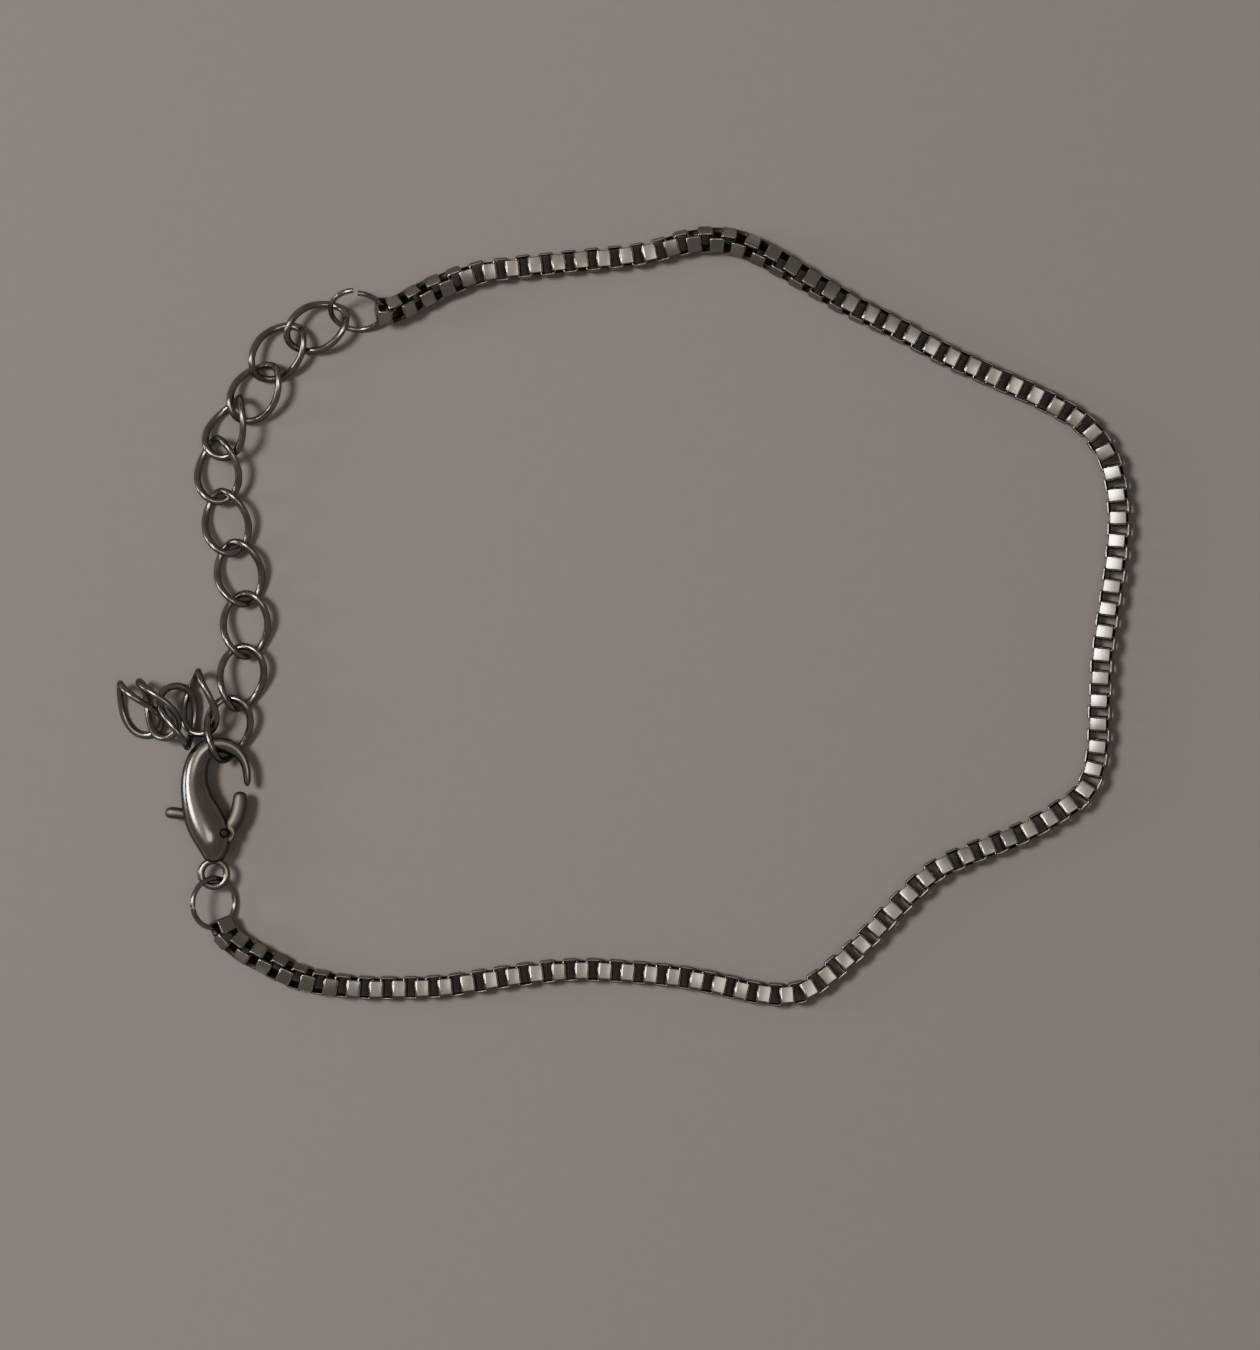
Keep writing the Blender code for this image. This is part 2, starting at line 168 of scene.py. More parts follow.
# Finish of each piece: share of the silver's brightness, roughness, then strengths of the tarnish patches,
# the painted shade in crevices, the painted shade on the flanks and the painted shade inside the box links
FINISHES = {
    "box_chain_plating": (1.0, 0.2, 0.35, 0.6, 0.7, 1.0),
    "extender_plating": (0.85, 0.20, 0.9, 0.7, 0.85, 0.0),
    "jump_ring_plating": (0.85, 0.18, 0.8, 0.6, 0.85, 0.0),
    "clasp_plating": (0.8, 0.17, 0.5, 0.9, 0.95, 0.0),
    # The lever's and the rivet's low brightness is painted shade
    "lever_plating": (0.28, 0.48, 0.5, 0.7, 0.3, 0.0),
    "rivet_plating": (0.06, 0.6, 0.5, 1.0, 0.5, 0.0),
}

# Lights: compass direction and angle from straight above in degrees, size in metres, watts, colour
LIGHTS = {
    "key_light": (165, 29, 0.13, 1.62, (1.0, 0.955, 0.90)),
    "ceiling_light": (343, 14, 0.20, 0.14, (1.0, 0.93, 0.82)),
    "window_light": (175, 74, 0.12, 0.45, (0.72, 0.85, 1.0)),
}
LIGHT_DISTANCE = 0.6

# Brightness of the surround at heights from the horizon, 0, to straight above, 1
SURROUND = [(0.0, 0.30), (0.25, 0.10), (0.88, 0.10), (0.97, 0.30)]

# Camera: middle and height of its frame at the height of the chain's middle, and sensor width in mm
FRAME_MIDDLE = (0.395 * MM, -4.54 * MM)
FRAME_HEIGHT = 1350 / 13 * MM
CHAIN_HEIGHT = 1.0 * MM
SENSOR = 36.0

# Lever, in the same columns, with half thicknesses as shares of the lever's own thickness
GATE_SECTIONS = [
    (0.372, 0.530, 0.090, 0.40),
    (0.375, 0.460, 0.115, 0.50),
    (0.325, 0.350, 0.120, 0.50),
    (0.169, 0.262, 0.110, 0.50),
]
ARM_SECTIONS = [
    (-0.698, 0.391, 0.095, 0.40),
    (-0.465, 0.391, 0.085, 0.45),
    (-0.127, 0.343, 0.070, 0.45),
    (0.169, 0.262, 0.070, 0.45),
]


def length_property(label, words, default):
    """A length that a user can change, in metres."""
    return bpy.props.FloatProperty(
        name=label, description=words, default=default, min=0.0, unit="LENGTH", precision=6
    )


def share_property(label, words, default):
    """A plain number that a user can change."""
    return bpy.props.FloatProperty(name=label, description=words, default=default)


def angle_property(label, words, degrees):
    """An angle that a user can change, in degrees."""
    return bpy.props.FloatProperty(
        name=label, description=words, default=math.radians(degrees), unit="ROTATION"
    )


def colour_property(label, words, default):
    """A colour that a user can change."""
    return bpy.props.FloatVectorProperty(
        name=label, description=words, default=default, size=3, min=0.0, max=1.0, subtype="COLOR"
    )


class BoxChainSettings(bpy.types.PropertyGroup):
    """Sizes of the box chain's links."""

    length: length_property("Link length", "Length of one box link along the chain", 1.25 * MM)
    height: length_property("Link height", "Height of one box link across its opening", 1.77 * MM)
    width: length_property("Strip width", "Width of the strip that a box link is bent from", 1.23 * MM)
    strip: length_property("Strip thickness", "Thickness of that strip", 0.18 * MM)
    taut_strip: length_property("Taut strip", "Strip and clearance that set the links' pitch", 0.185 * MM)
    corner: length_property("Corner radius", "Outer radius of a box link's bent corners", 0.24 * MM)
    edge: length_property("Edge rounding", "Rounding of the strip's long edges", 0.07 * MM)
    rest: length_property("Rest gap", "Room under the links for their tilt", 0.025 * MM)
    slack: share_property("Slack", "Most degrees that a link lies out of line", 2.5)


class ExtenderSettings(bpy.types.PropertyGroup):
    """Sizes of the extender's curb links and of the jump rings."""

    length: length_property("Link length", "Outer length of a curb link", 5.40 * MM)
    width: length_property("Link width", "Outer width of a curb link", 3.95 * MM)
    wire: length_property("Link wire", "Diameter of a curb link's wire", 0.55 * MM)
    twist: angle_property("Twist", "Twist of a curb link from end to end", 2 * 0.9 * -45)
    ring_wire: length_property("Ring wire", "Diameter of a jump ring's wire", 0.40 * MM)
    extender_ring: length_property("Extender ring", "Outer width of the extender's jump ring", 4.40 * MM)
    clasp_ring: length_property("Clasp ring", "Outer width of the jump ring at the clasp", 4.20 * MM)
    extender_cut: length_property("Extender ring cut", "Gap between that ring's ends", 0.35 * MM)
    extender_offset: length_property("Extender ring offset", "How far they are out of line", 0.30 * MM)
    clasp_cut: length_property("Clasp ring cut", "Gap between the ends of the clasp's ring", 0.12 * MM)


class ClaspSettings(bpy.types.PropertyGroup):
    """Sizes of the lobster clasp."""

    length: length_property("Clasp length", "Length that the clasp's sections are shares of", 12.0 * MM)
    width: length_property("Clasp width", "Width that the clasp's sections are shares of", 5.46 * MM)
    thickness: length_property("Clasp thickness", "Thickness of the swollen base", 3.0 * MM)
    ridge: share_property("Ridge", "Outward shift of the limb's ridge, as a share of half its width", 0.35)
    eye_width: length_property("Eye width", "Outer width of the clasp's eye", 2.52 * MM)
    eye_wire: length_property("Eye wire", "Thickness of the eye's ring", 0.54 * MM)
    pivot_x: length_property("Pivot x", "Distance of the rivet to the right of the eye", 0.92 * MM)
    pivot_y: length_property("Pivot y", "Distance of the rivet above the eye", 3.15 * MM)
    pin_radius: length_property("Rivet radius", "Radius of the rivet", 0.30 * MM)
    pin_length: length_property("Rivet length", "Length of the rivet", 2.2 * MM)
    pin_gap: length_property("Rivet gap", "Gap round the rivet", 0.08 * MM)
    lever_thickness: length_property("Lever thickness", "Thickness of the lever", 0.80 * MM)
    lever_gap: length_property("Lever gap", "Gap above and below the lever in its slot", 0.12 * MM)
    hub_radius: length_property("Hub radius", "Radius of the lever's hub", 0.68 * MM)
    slot_above: length_property("Slot above", "Reach of the slot above the rivet", 2.35 * MM)
    slot_below: length_property("Slot below", "Reach of the slot below the rivet", 0.85 * MM)
    slot_reach: length_property("Slot reach", "Reach of the slot to both sides of the rivet", 5.0 * MM)


class MetalSettings(bpy.types.PropertyGroup):
    """Colours of the metal."""

    silver: colour_property("Silver", "Colour of the polished plating", (0.70, 0.655, 0.58))
    # This dark colour also paints the shade in crevices, on the flanks and inside the box links
    tarnish: colour_property("Tarnish", "Colour of the film in the crevices", (0.050, 0.044, 0.036))


class StageSettings(bpy.types.PropertyGroup):
    """Floor, lights and camera."""

    floor: colour_property("Floor", "Colour of the pale floor", (0.415, 0.372, 0.360))
    camera_height: length_property("Camera height", "Height of the camera above the floor", 0.30)


def deselect_all():
    """Leaves nothing selected, so that an operator acts only on what is picked next."""
    bpy.ops.object.select_all(action="DESELECT")


def pick(*objects):
    """Selects these objects alone and makes the last one active."""
    deselect_all()
    for obj in objects:
        obj.select_set(True)
    bpy.context.view_layer.objects.active = objects[-1]


def apply_place(obj):
    """Puts a piece's place into its mesh."""
    pick(obj)
    bpy.ops.object.transform_apply(location=True, rotation=True, scale=True)


def select_parts(test_vert=None, test_edge=None, test_face=None):
    """Selects the vertices, edges or faces of the mesh in edit mode that pass a test."""
    mesh = bpy.context.object.data
    kinds = ((test_vert, "VERT"), (test_edge, "EDGE"), (test_face, "FACE"))
    kind = next(word for test, word in kinds if test)
    bpy.ops.mesh.select_mode(type=kind)
    bpy.ops.mesh.select_all(action="DESELECT")
    shape = bmesh.from_edit_mesh(mesh)
    parts = {"VERT": shape.verts, "EDGE": shape.edges, "FACE": shape.faces}[kind]
    test = test_vert or test_edge or test_face
    for part in parts:
        if test(part):
            part.select_set(True)
    bmesh.update_edit_mesh(mesh)


def add_modifier(obj, name, kind, **values):
    """Adds a modifier with its values and applies it."""
    pick(obj)
    modifier = obj.modifiers.new(name, kind)
    for key, value in values.items():
        setattr(modifier, key, value)
    bpy.ops.object.modifier_apply(modifier=modifier.name)


def boolean(obj, other, operation):
    """Unites a helper with a piece, or cuts it out, and deletes the helper."""
    add_modifier(obj, operation.title(), "BOOLEAN", operation=operation, solver="EXACT", object=other)
    bpy.data.objects.remove(other, do_unlink=True)


def round_off(obj, angle):
    """Shades a piece smooth apart from its sharp edges."""
    pick(obj)
    bpy.ops.object.shade_smooth_by_angle(angle=math.radians(angle))


def route_point(x, y, z):
    """A place of a route, in its own millimetres, as a point of the frame."""
    return Vector((x - ROUTE_MIDDLE[0], y - ROUTE_MIDDLE[1], z)) * MM


def placed(row):
    """The matrix of one row of a place list."""
    x, y, z, heading, pitch, roll = row
    turn = Matrix.Rotation(math.radians(heading), 4, "Z")
    turn = turn @ Matrix.Rotation(math.radians(pitch), 4, "Y")
    turn = turn @ Matrix.Rotation(math.radians(roll), 4, "X")
    return Matrix.Translation(route_point(x, y, z)) @ turn


def smooth_route(points, steps):
    """A Catmull-Rom curve through rows of numbers, as rows at even steps between them."""
    rows = [points[0], *points, points[-1]]
    curve = []
    for i in range(1, len(rows) - 2):
        for step in range(steps):
            t = step / steps
            curve.append([between(rows[i - 1 : i + 3], t, k) for k in range(len(points[0]))])
    curve.append(list(points[-1]))
    return curve


def between(four, t, column):
    """Value of one column at share t of the way between the second and third of four rows."""
    before, start, end, after = (row[column] for row in four)
    straight = 2 * start + (end - before) * t
    square = (2 * before - 5 * start + 4 * end - after) * t**2
    cube = (3 * start - before - 3 * end + after) * t**3
    return 0.5 * (straight + square + cube)


def rest_point(x, y, roll, lift, sizes):
    """Middle of a box link that lies on the surface at this roll, with room below for its tilt."""
    sine = abs(math.sin(math.radians(roll)))
    cosine = abs(math.cos(math.radians(roll)))
    upright = (sizes.height * cosine + sizes.width * sine) / 2
    flat = (sizes.width * cosine + sizes.height * sine) / 2
    return route_point(x, y, lift + (max(upright, flat) + sizes.rest) / MM)


def box_link_stations(sizes):
    """Matrix of every box link along the route: +X along the chain, Z across it, rolled about X."""
    curve = smooth_route(CHAIN_ROUTE, ROUTE_STEPS)
    path = [rest_point(*row, sizes) for row in curve]
    rolls = [row[2] for row in curve]
    lengths = [0.0]
    for before, after in zip(path, path[1:]):
        lengths.append(lengths[-1] + (after - before).length)
    gaps = 2 * int(lengths[-1] / (2 * (sizes.length - 2 * sizes.taut_strip)))
    stations = []
    segment = 0
    for i in range(gaps + 1):
        distance = lengths[-1] * i / gaps
        while segment < len(lengths) - 2 and lengths[segment + 1] < distance:
            segment += 1
        share = (distance - lengths[segment]) / (lengths[segment + 1] - lengths[segment])
        point = path[segment].lerp(path[segment + 1], share)
        roll = rolls[segment] + (rolls[segment + 1] - rolls[segment]) * share
        before = path[max(segment - ROUTE_STEPS // 4, 0)]
        after = path[min(segment + 1 + ROUTE_STEPS // 4, len(path) - 1)]
        along = (after - before).normalized()
        side = Vector((0, 0, 1)).cross(along).normalized()
        axes = Matrix((along, side, along.cross(side))).transposed().to_4x4()
        stations.append(Matrix.Translation(point) @ axes @ Matrix.Rotation(math.radians(roll), 4, "X"))
    return stations


def add_box_link(sizes):
    """One square ring bent from strip: a block with rounded corners, inset on two sides and bridged."""
    deselect_all()
    bpy.ops.mesh.primitive_cube_add(size=1.0)
    link = bpy.context.object
    bpy.ops.object.mode_set(mode="EDIT")
    bpy.ops.transform.resize(value=(sizes.length, sizes.width, sizes.height))
    select_parts(test_edge=lambda e: abs(e.verts[0].co.y - e.verts[1].co.y) > sizes.width / 2)
    bpy.ops.mesh.bevel(offset=sizes.corner, segments=2, affect="EDGES")
    select_parts(test_face=lambda f: abs(f.normal.y) > FACING)
    bpy.ops.mesh.inset(thickness=sizes.strip, use_individual=True)
    bpy.ops.mesh.bridge_edge_loops()
    half_inside = sizes.height / 2 - sizes.strip / 2
    long_inside = sizes.length / 2 - sizes.strip / 2

    def outer_rim(edge):
        on_side = all(abs(abs(v.co.y) - sizes.width / 2) < sizes.edge / 10 for v in edge.verts)
        outside = all(abs(v.co.z) > half_inside or abs(v.co.x) > long_inside for v in edge.verts)
        return on_side and outside and len(edge.link_faces) == 2 and edge.calc_face_angle() > 0.5

    select_parts(test_edge=outer_rim)
    bpy.ops.mesh.bevel(offset=sizes.edge, segments=1, affect="EDGES")
    bpy.ops.object.mode_set(mode="OBJECT")
    # Painted shade: a mask of 1 on the link's inside faces, which the material paints dark
    inside_shade = link.data.attributes.new("inside_shade", "FLOAT", "POINT")
    for vert in link.data.vertices:
        inside = abs(vert.co.z) < half_inside and abs(vert.co.x) < long_inside
        inside_shade.data[vert.index].value = 1.0 if inside else 0.0
    bpy.ops.object.shade_smooth()
    add_modifier(link, "Flat sides", "WEIGHTED_NORMAL", weight=100)
    return link


def add_box_chain(sizes):
    """Every box link in its place, each a quarter turn from its neighbours and a touch out of line."""
    template = add_box_link(sizes)
    quarter = Matrix.Rotation(math.radians(90), 4, "X")
    chance = random.Random(SLACK_SEED)
    links = []
    for i, station in enumerate(box_link_stations(sizes)):
        link = template.copy()
        link.data = template.data.copy()
        bpy.context.scene.collection.objects.link(link)
        roll = math.radians(chance.uniform(-sizes.slack, sizes.slack))
        pitch = math.radians(chance.uniform(-sizes.slack, sizes.slack))
        tilt = Matrix.Rotation(roll, 4, "X") @ Matrix.Rotation(pitch, 4, "Y")
        link.matrix_world = station @ quarter @ tilt if i % 2 else station @ tilt
        links.append(link)
    bpy.data.objects.remove(template, do_unlink=True)
    pick(*links)
    bpy.ops.object.join()
    chain = bpy.context.object
    chain.name = "box_chain_links"
    apply_place(chain)
    return chain


def add_curb_link(name, row, sizes):
    """One link of round wire: a bent circle pulled to an oval, then twisted about its long axis."""
    deselect_all()
    bpy.ops.curve.primitive_bezier_circle_add(radius=1.0)
    link = bpy.context.object
    link.name = name
    bpy.ops.object.mode_set(mode="EDIT")
    half_length = (sizes.length - sizes.wire) / 2
    half_width = (sizes.width - sizes.wire) / 2
    bpy.ops.transform.resize(value=(half_length, half_width, 1.0))
    bpy.ops.object.mode_set(mode="OBJECT")
    link.data.bevel_depth = sizes.wire / 2
    link.data.bevel_resolution = 4
    link.data.resolution_u = 12
    pick(link)
    bpy.ops.object.convert(target="MESH")
    add_modifier(
        link, "Twist", "SIMPLE_DEFORM", deform_method="TWIST", deform_axis="X", angle=sizes.twist
    )
    link.matrix_world = placed(row)
    apply_place(link)
    bpy.ops.object.shade_smooth()
    return link


def add_jump_ring(name, row, width, wire, cut_angle, cut, offset):
    """A round profile swept nearly all the way round, its ends a little apart and out of line."""
    radius = (width - wire) / 2
    start = cut_angle + cut / 2 / radius
    turn = 2 * math.pi - cut / radius
    deselect_all()
    bpy.ops.mesh.primitive_circle_add(vertices=RING_SIDES, radius=wire / 2, rotation=(math.pi / 2, 0, 0))
    ring = bpy.context.object
    ring.name = name
    ring.location = (radius, 0, 0)
    apply_place(ring)
    add_modifier(
        ring,
        "Sweep",
        "SCREW",
        axis="Z",
        angle=turn,
        screw_offset=offset,
        steps=RING_STEPS,
        render_steps=RING_STEPS,
        use_merge_vertices=False,
    )
    pick(ring)
    bpy.ops.object.mode_set(mode="EDIT")
    bpy.ops.mesh.select_all(action="SELECT")
    bpy.ops.mesh.fill_holes(sides=0)
    bpy.ops.mesh.select_all(action="SELECT")
    bpy.ops.mesh.normals_make_consistent(inside=False)
    bpy.ops.object.mode_set(mode="OBJECT")
    shift = Matrix.Translation((0, 0, -offset / 2))
    ring.matrix_world = placed(row) @ Matrix.Rotation(start, 4, "Z") @ shift
    apply_place(ring)
    round_off(ring, 50)
    return ring


def clasp_middle(sizes):
    """The middle of the clasp's eye."""
    return route_point(*EYE_PLACE, sizes.thickness / 2 / MM)


def pivot_middle(sizes):
    """The middle of the rivet."""
    return clasp_middle(sizes) + Vector((sizes.pivot_x, sizes.pivot_y, 0))


def turn_about(middle, angle):
    """Turns what is selected in edit mode about an upright axis. With no window the sign is reversed."""
    bpy.ops.transform.rotate(value=-angle, orient_axis="Z", orient_type="GLOBAL", center_override=middle)


def stretch_about(middle, heading, across, upward):
    """Scales what is selected in edit mode across its heading and upward."""
    turn_about(middle, -heading)
    bpy.ops.transform.resize(value=(across, 1.0, upward), orient_type="GLOBAL", center_override=middle)
    turn_about(middle, heading)


def add_limb(name, rows, thickness, ridge, sizes):
    """Extrudes an oval from section to section of a limb, its ridge moved sideways, then smooths it."""
    eye = clasp_middle(sizes)
    middles = [eye + Vector((x * sizes.width, y * sizes.length, 0)) for x, y, _, _ in rows]
    headings = []
    for i in range(len(rows)):
        along = middles[min(i + 1, len(rows) - 1)] - middles[max(i - 1, 0)]
        headings.append(math.atan2(-along.x, along.y))
    deselect_all()
    bpy.ops.mesh.primitive_circle_add(
        vertices=LIMB_SIDES,
        radius=MM,
        fill_type="NGON",
        location=middles[0],
        rotation=(math.pi / 2, 0, headings[0]),
    )
    limb = bpy.context.object
    limb.name = name
    apply_place(limb)
    bpy.ops.object.mode_set(mode="EDIT")
    side = Vector((math.cos(headings[0]), math.sin(headings[0]), 0))
    for level in sorted({round(abs(v.co.z - middles[0].z), 7) for v in limb.data.vertices}):
        select_parts(test_vert=lambda v: abs(abs(v.co.z - middles[0].z) - level) < MM / 1000)
        bpy.ops.transform.translate(value=side * ridge * level**2 / MM)
    bpy.ops.mesh.select_mode(type="VERT")
    bpy.ops.mesh.select_all(action="SELECT")
    shape = [(width * sizes.width / MM, high * thickness / MM) for _, _, width, high in rows]
    stretch_about(middles[0], headings[0], *shape[0])
    for i in range(1, len(rows)):
        move = middles[i] - middles[i - 1]
        bpy.ops.mesh.extrude_region_move(TRANSFORM_OT_translate={"value": move})
        turn_about(middles[i], headings[i] - headings[i - 1])
        across = shape[i][0] / shape[i - 1][0]
        upward = shape[i][1] / shape[i - 1][1]
        stretch_about(middles[i], headings[i], across, upward)
    bpy.ops.mesh.select_all(action="SELECT")
    bpy.ops.mesh.normals_make_consistent(inside=False)
    bpy.ops.object.mode_set(mode="OBJECT")
    add_modifier(limb, "Smooth", "SUBSURF", levels=LIMB_LEVELS, render_levels=LIMB_LEVELS)
    return limb


def add_bar(name, radius, height, middle, sides):
    """A plain upright round bar."""
    deselect_all()
    bpy.ops.mesh.primitive_cylinder_add(vertices=sides, radius=radius, depth=height, location=middle)
    bar = bpy.context.object
    bar.name = name
    apply_place(bar)
    return bar


def cut_rivet_hole(piece, sizes):
    """Cuts the rivet's hole, with its gap, through a piece."""
    radius = sizes.pin_radius + sizes.pin_gap
    hole = add_bar("rivet_hole", radius, 2 * sizes.thickness, pivot_middle(sizes), ROUND_SIDES)
    boolean(piece, hole, "DIFFERENCE")


def add_clasp_body(sizes):
    """Hook, left limb, swollen base and eye, with the lever's slot and the rivet's hole cut through."""
    body = add_limb("clasp_casting", BODY_SECTIONS, sizes.thickness, sizes.ridge, sizes)
    deselect_all()
    bpy.ops.mesh.primitive_torus_add(
        major_segments=48,
        minor_segments=16,
        major_radius=(sizes.eye_width - sizes.eye_wire) / 2,
        minor_radius=sizes.eye_wire / 2,
        location=clasp_middle(sizes),
    )
    boolean(body, bpy.context.object, "UNION")
    deselect_all()
    middle = pivot_middle(sizes) + Vector((0, (sizes.slot_above - sizes.slot_below) / 2, 0))
    bpy.ops.mesh.primitive_cube_add(size=1.0, location=middle)
    slot = bpy.context.object
    slot_height = sizes.lever_thickness + 2 * sizes.lever_gap
    slot.scale = (2 * sizes.slot_reach, sizes.slot_above + sizes.slot_below, slot_height)
    boolean(body, slot, "DIFFERENCE")
    cut_rivet_hole(body, sizes)
    round_off(body, 40)
    return body


def add_clasp_lever(sizes):
    """Gate, hub and thumb tab in one."""
    lever = add_limb("clasp_gate_lever", GATE_SECTIONS, sizes.lever_thickness, 0.0, sizes)
    arm = add_limb("lever_arm", ARM_SECTIONS, sizes.lever_thickness, 0.0, sizes)
    boolean(lever, arm, "UNION")
    hub = add_bar("lever_hub", sizes.hub_radius, sizes.lever_thickness, pivot_middle(sizes), ROUND_SIDES)
    boolean(lever, hub, "UNION")
    cut_rivet_hole(lever, sizes)
    round_off(lever, 40)
    return lever


def add_clasp_rivet(sizes):
    """The rivet with its slightly rounded heads."""
    rivet = add_bar("clasp_rivet", sizes.pin_radius, sizes.pin_length, pivot_middle(sizes), ROUND_SIDES)
    bpy.ops.object.mode_set(mode="EDIT")
    select_parts(test_face=lambda f: abs(f.normal.z) > FACING)
    bpy.ops.mesh.bevel(offset=sizes.pin_radius / 3, segments=3, affect="EDGES")
    bpy.ops.object.mode_set(mode="OBJECT")
    round_off(rivet, 60)
    return rivet


def new_group(name, inputs, outputs):
    """An empty shader node group with its sockets, and its input and output nodes."""
    group = bpy.data.node_groups.new(name, "ShaderNodeTree")
    for label, kind, value in inputs:
        socket = group.interface.new_socket(label, in_out="INPUT", socket_type=kind)
        socket.default_value = value
    for label, kind in outputs:
        group.interface.new_socket(label, in_out="OUTPUT", socket_type=kind)
    return group, group.nodes.new("NodeGroupInput"), group.nodes.new("NodeGroupOutput")


def put(tree, kind, values=None, **settings):
    """A node with its settings and the default values of its sockets."""
    node = tree.nodes.new(kind)
    for key, value in settings.items():
        setattr(node, key, value)
    for key, value in (values or {}).items():
        node.inputs[key].default_value = value
    return node


def tarnish_group():
    """Cloudy tarnish patches over the plating, as a mask from 0 to 1."""
    group, inside, outside = new_group(
        "Tarnish patches",
        [("Scale", "NodeSocketFloat", 900.0), ("Cover", "NodeSocketFloat", 0.5)],
        [("Mask", "NodeSocketFloat")],
    )
    place = put(group, "ShaderNodeTexCoord")
    noise = put(group, "ShaderNodeTexNoise", {"Detail": 4.0, "Roughness": 0.6})
    spread = put(group, "ShaderNodeMapRange", {"From Min": 0.35, "From Max": 0.75})
    amount = put(group, "ShaderNodeMath", operation="MULTIPLY")
    group.links.new(place.outputs["Object"], noise.inputs["Vector"])
    group.links.new(inside.outputs["Scale"], noise.inputs["Scale"])
    group.links.new(noise.outputs["Fac"], spread.inputs["Value"])
    group.links.new(spread.outputs["Result"], amount.inputs[0])
    group.links.new(inside.outputs["Cover"], amount.inputs[1])
    group.links.new(amount.outputs[0], outside.inputs["Mask"])
    return group


def scratch_group():
    """Fine rubbing marks in two directions, as a height from 0 to 1."""
    group, inside, outside = new_group(
        "Rubbing marks", [("Scale", "NodeSocketFloat", 1500.0)], [("Height", "NodeSocketFloat")]
    )
    place = put(group, "ShaderNodeTexCoord")
    total = put(group, "ShaderNodeMath", operation="ADD")
    for slot, (turn, stretch) in enumerate(((0.5, 8.0), (-0.9, 11.0))):
        values = {"Rotation": (0.3, 0.2, turn), "Scale": (stretch, 0.6, stretch)}
        mapping = put(group, "ShaderNodeMapping", values)
        noise = put(group, "ShaderNodeTexNoise", {"Detail": 2.0, "Roughness": 0.5})
        group.links.new(place.outputs["Object"], mapping.inputs["Vector"])
        group.links.new(mapping.outputs["Vector"], noise.inputs["Vector"])
        group.links.new(inside.outputs["Scale"], noise.inputs["Scale"])
        group.links.new(noise.outputs["Fac"], total.inputs[slot])
    half = put(group, "ShaderNodeMath", {1: 0.5}, operation="MULTIPLY")
    group.links.new(total.outputs[0], half.inputs[0])
    group.links.new(half.outputs[0], outside.inputs["Height"])
    return group


def crevice_shade_group():
    """Painted shade where neighbouring surfaces come close, from ambient occlusion, as a mask from 0 to 1.
    """
    group, inside, outside = new_group(
        "Painted crevice shade",
        [("Reach", "NodeSocketFloat", 0.0005), ("Strength", "NodeSocketFloat", 1.0)],
        [("Mask", "NodeSocketFloat")],
    )
    shade = put(group, "ShaderNodeAmbientOcclusion", samples=4)
    turn = put(group, "ShaderNodeMapRange", {"From Min": 0.75, "From Max": 0.15})
    amount = put(group, "ShaderNodeMath", operation="MULTIPLY")
    group.links.new(inside.outputs["Reach"], shade.inputs["Distance"])
    group.links.new(shade.outputs["AO"], turn.inputs["Value"])
    group.links.new(turn.outputs["Result"], amount.inputs[0])
    group.links.new(inside.outputs["Strength"], amount.inputs[1])
    group.links.new(amount.outputs[0], outside.inputs["Mask"])
    return group


def side_shade_group():
    """Painted shade on sides and undersides, stronger the further a surface turns from facing up, as a
    mask from 0 to 1.
    """
    group, inside, outside = new_group(
        "Painted side shade", [("Strength", "NodeSocketFloat", 1.0)], [("Mask", "NodeSocketFloat")]
    )
    place = put(group, "ShaderNodeTexCoord")
    split = put(group, "ShaderNodeSeparateXYZ")
    fall = put(
        group,
        "ShaderNodeMapRange",
        {"From Min": 0.94, "From Max": 0.45},
        interpolation_type="SMOOTHSTEP",
    )
    amount = put(group, "ShaderNodeMath", operation="MULTIPLY")
    group.links.new(place.outputs["Normal"], split.inputs["Vector"])
    group.links.new(split.outputs["Z"], fall.inputs["Value"])
    group.links.new(fall.outputs["Result"], amount.inputs[0])
    group.links.new(inside.outputs["Strength"], amount.inputs[1])
    group.links.new(amount.outputs[0], outside.inputs["Mask"])
    return group


def shared_group(name, build):
    """The node group of that name, built the first time it is asked for."""
    return bpy.data.node_groups.get(name) or build()


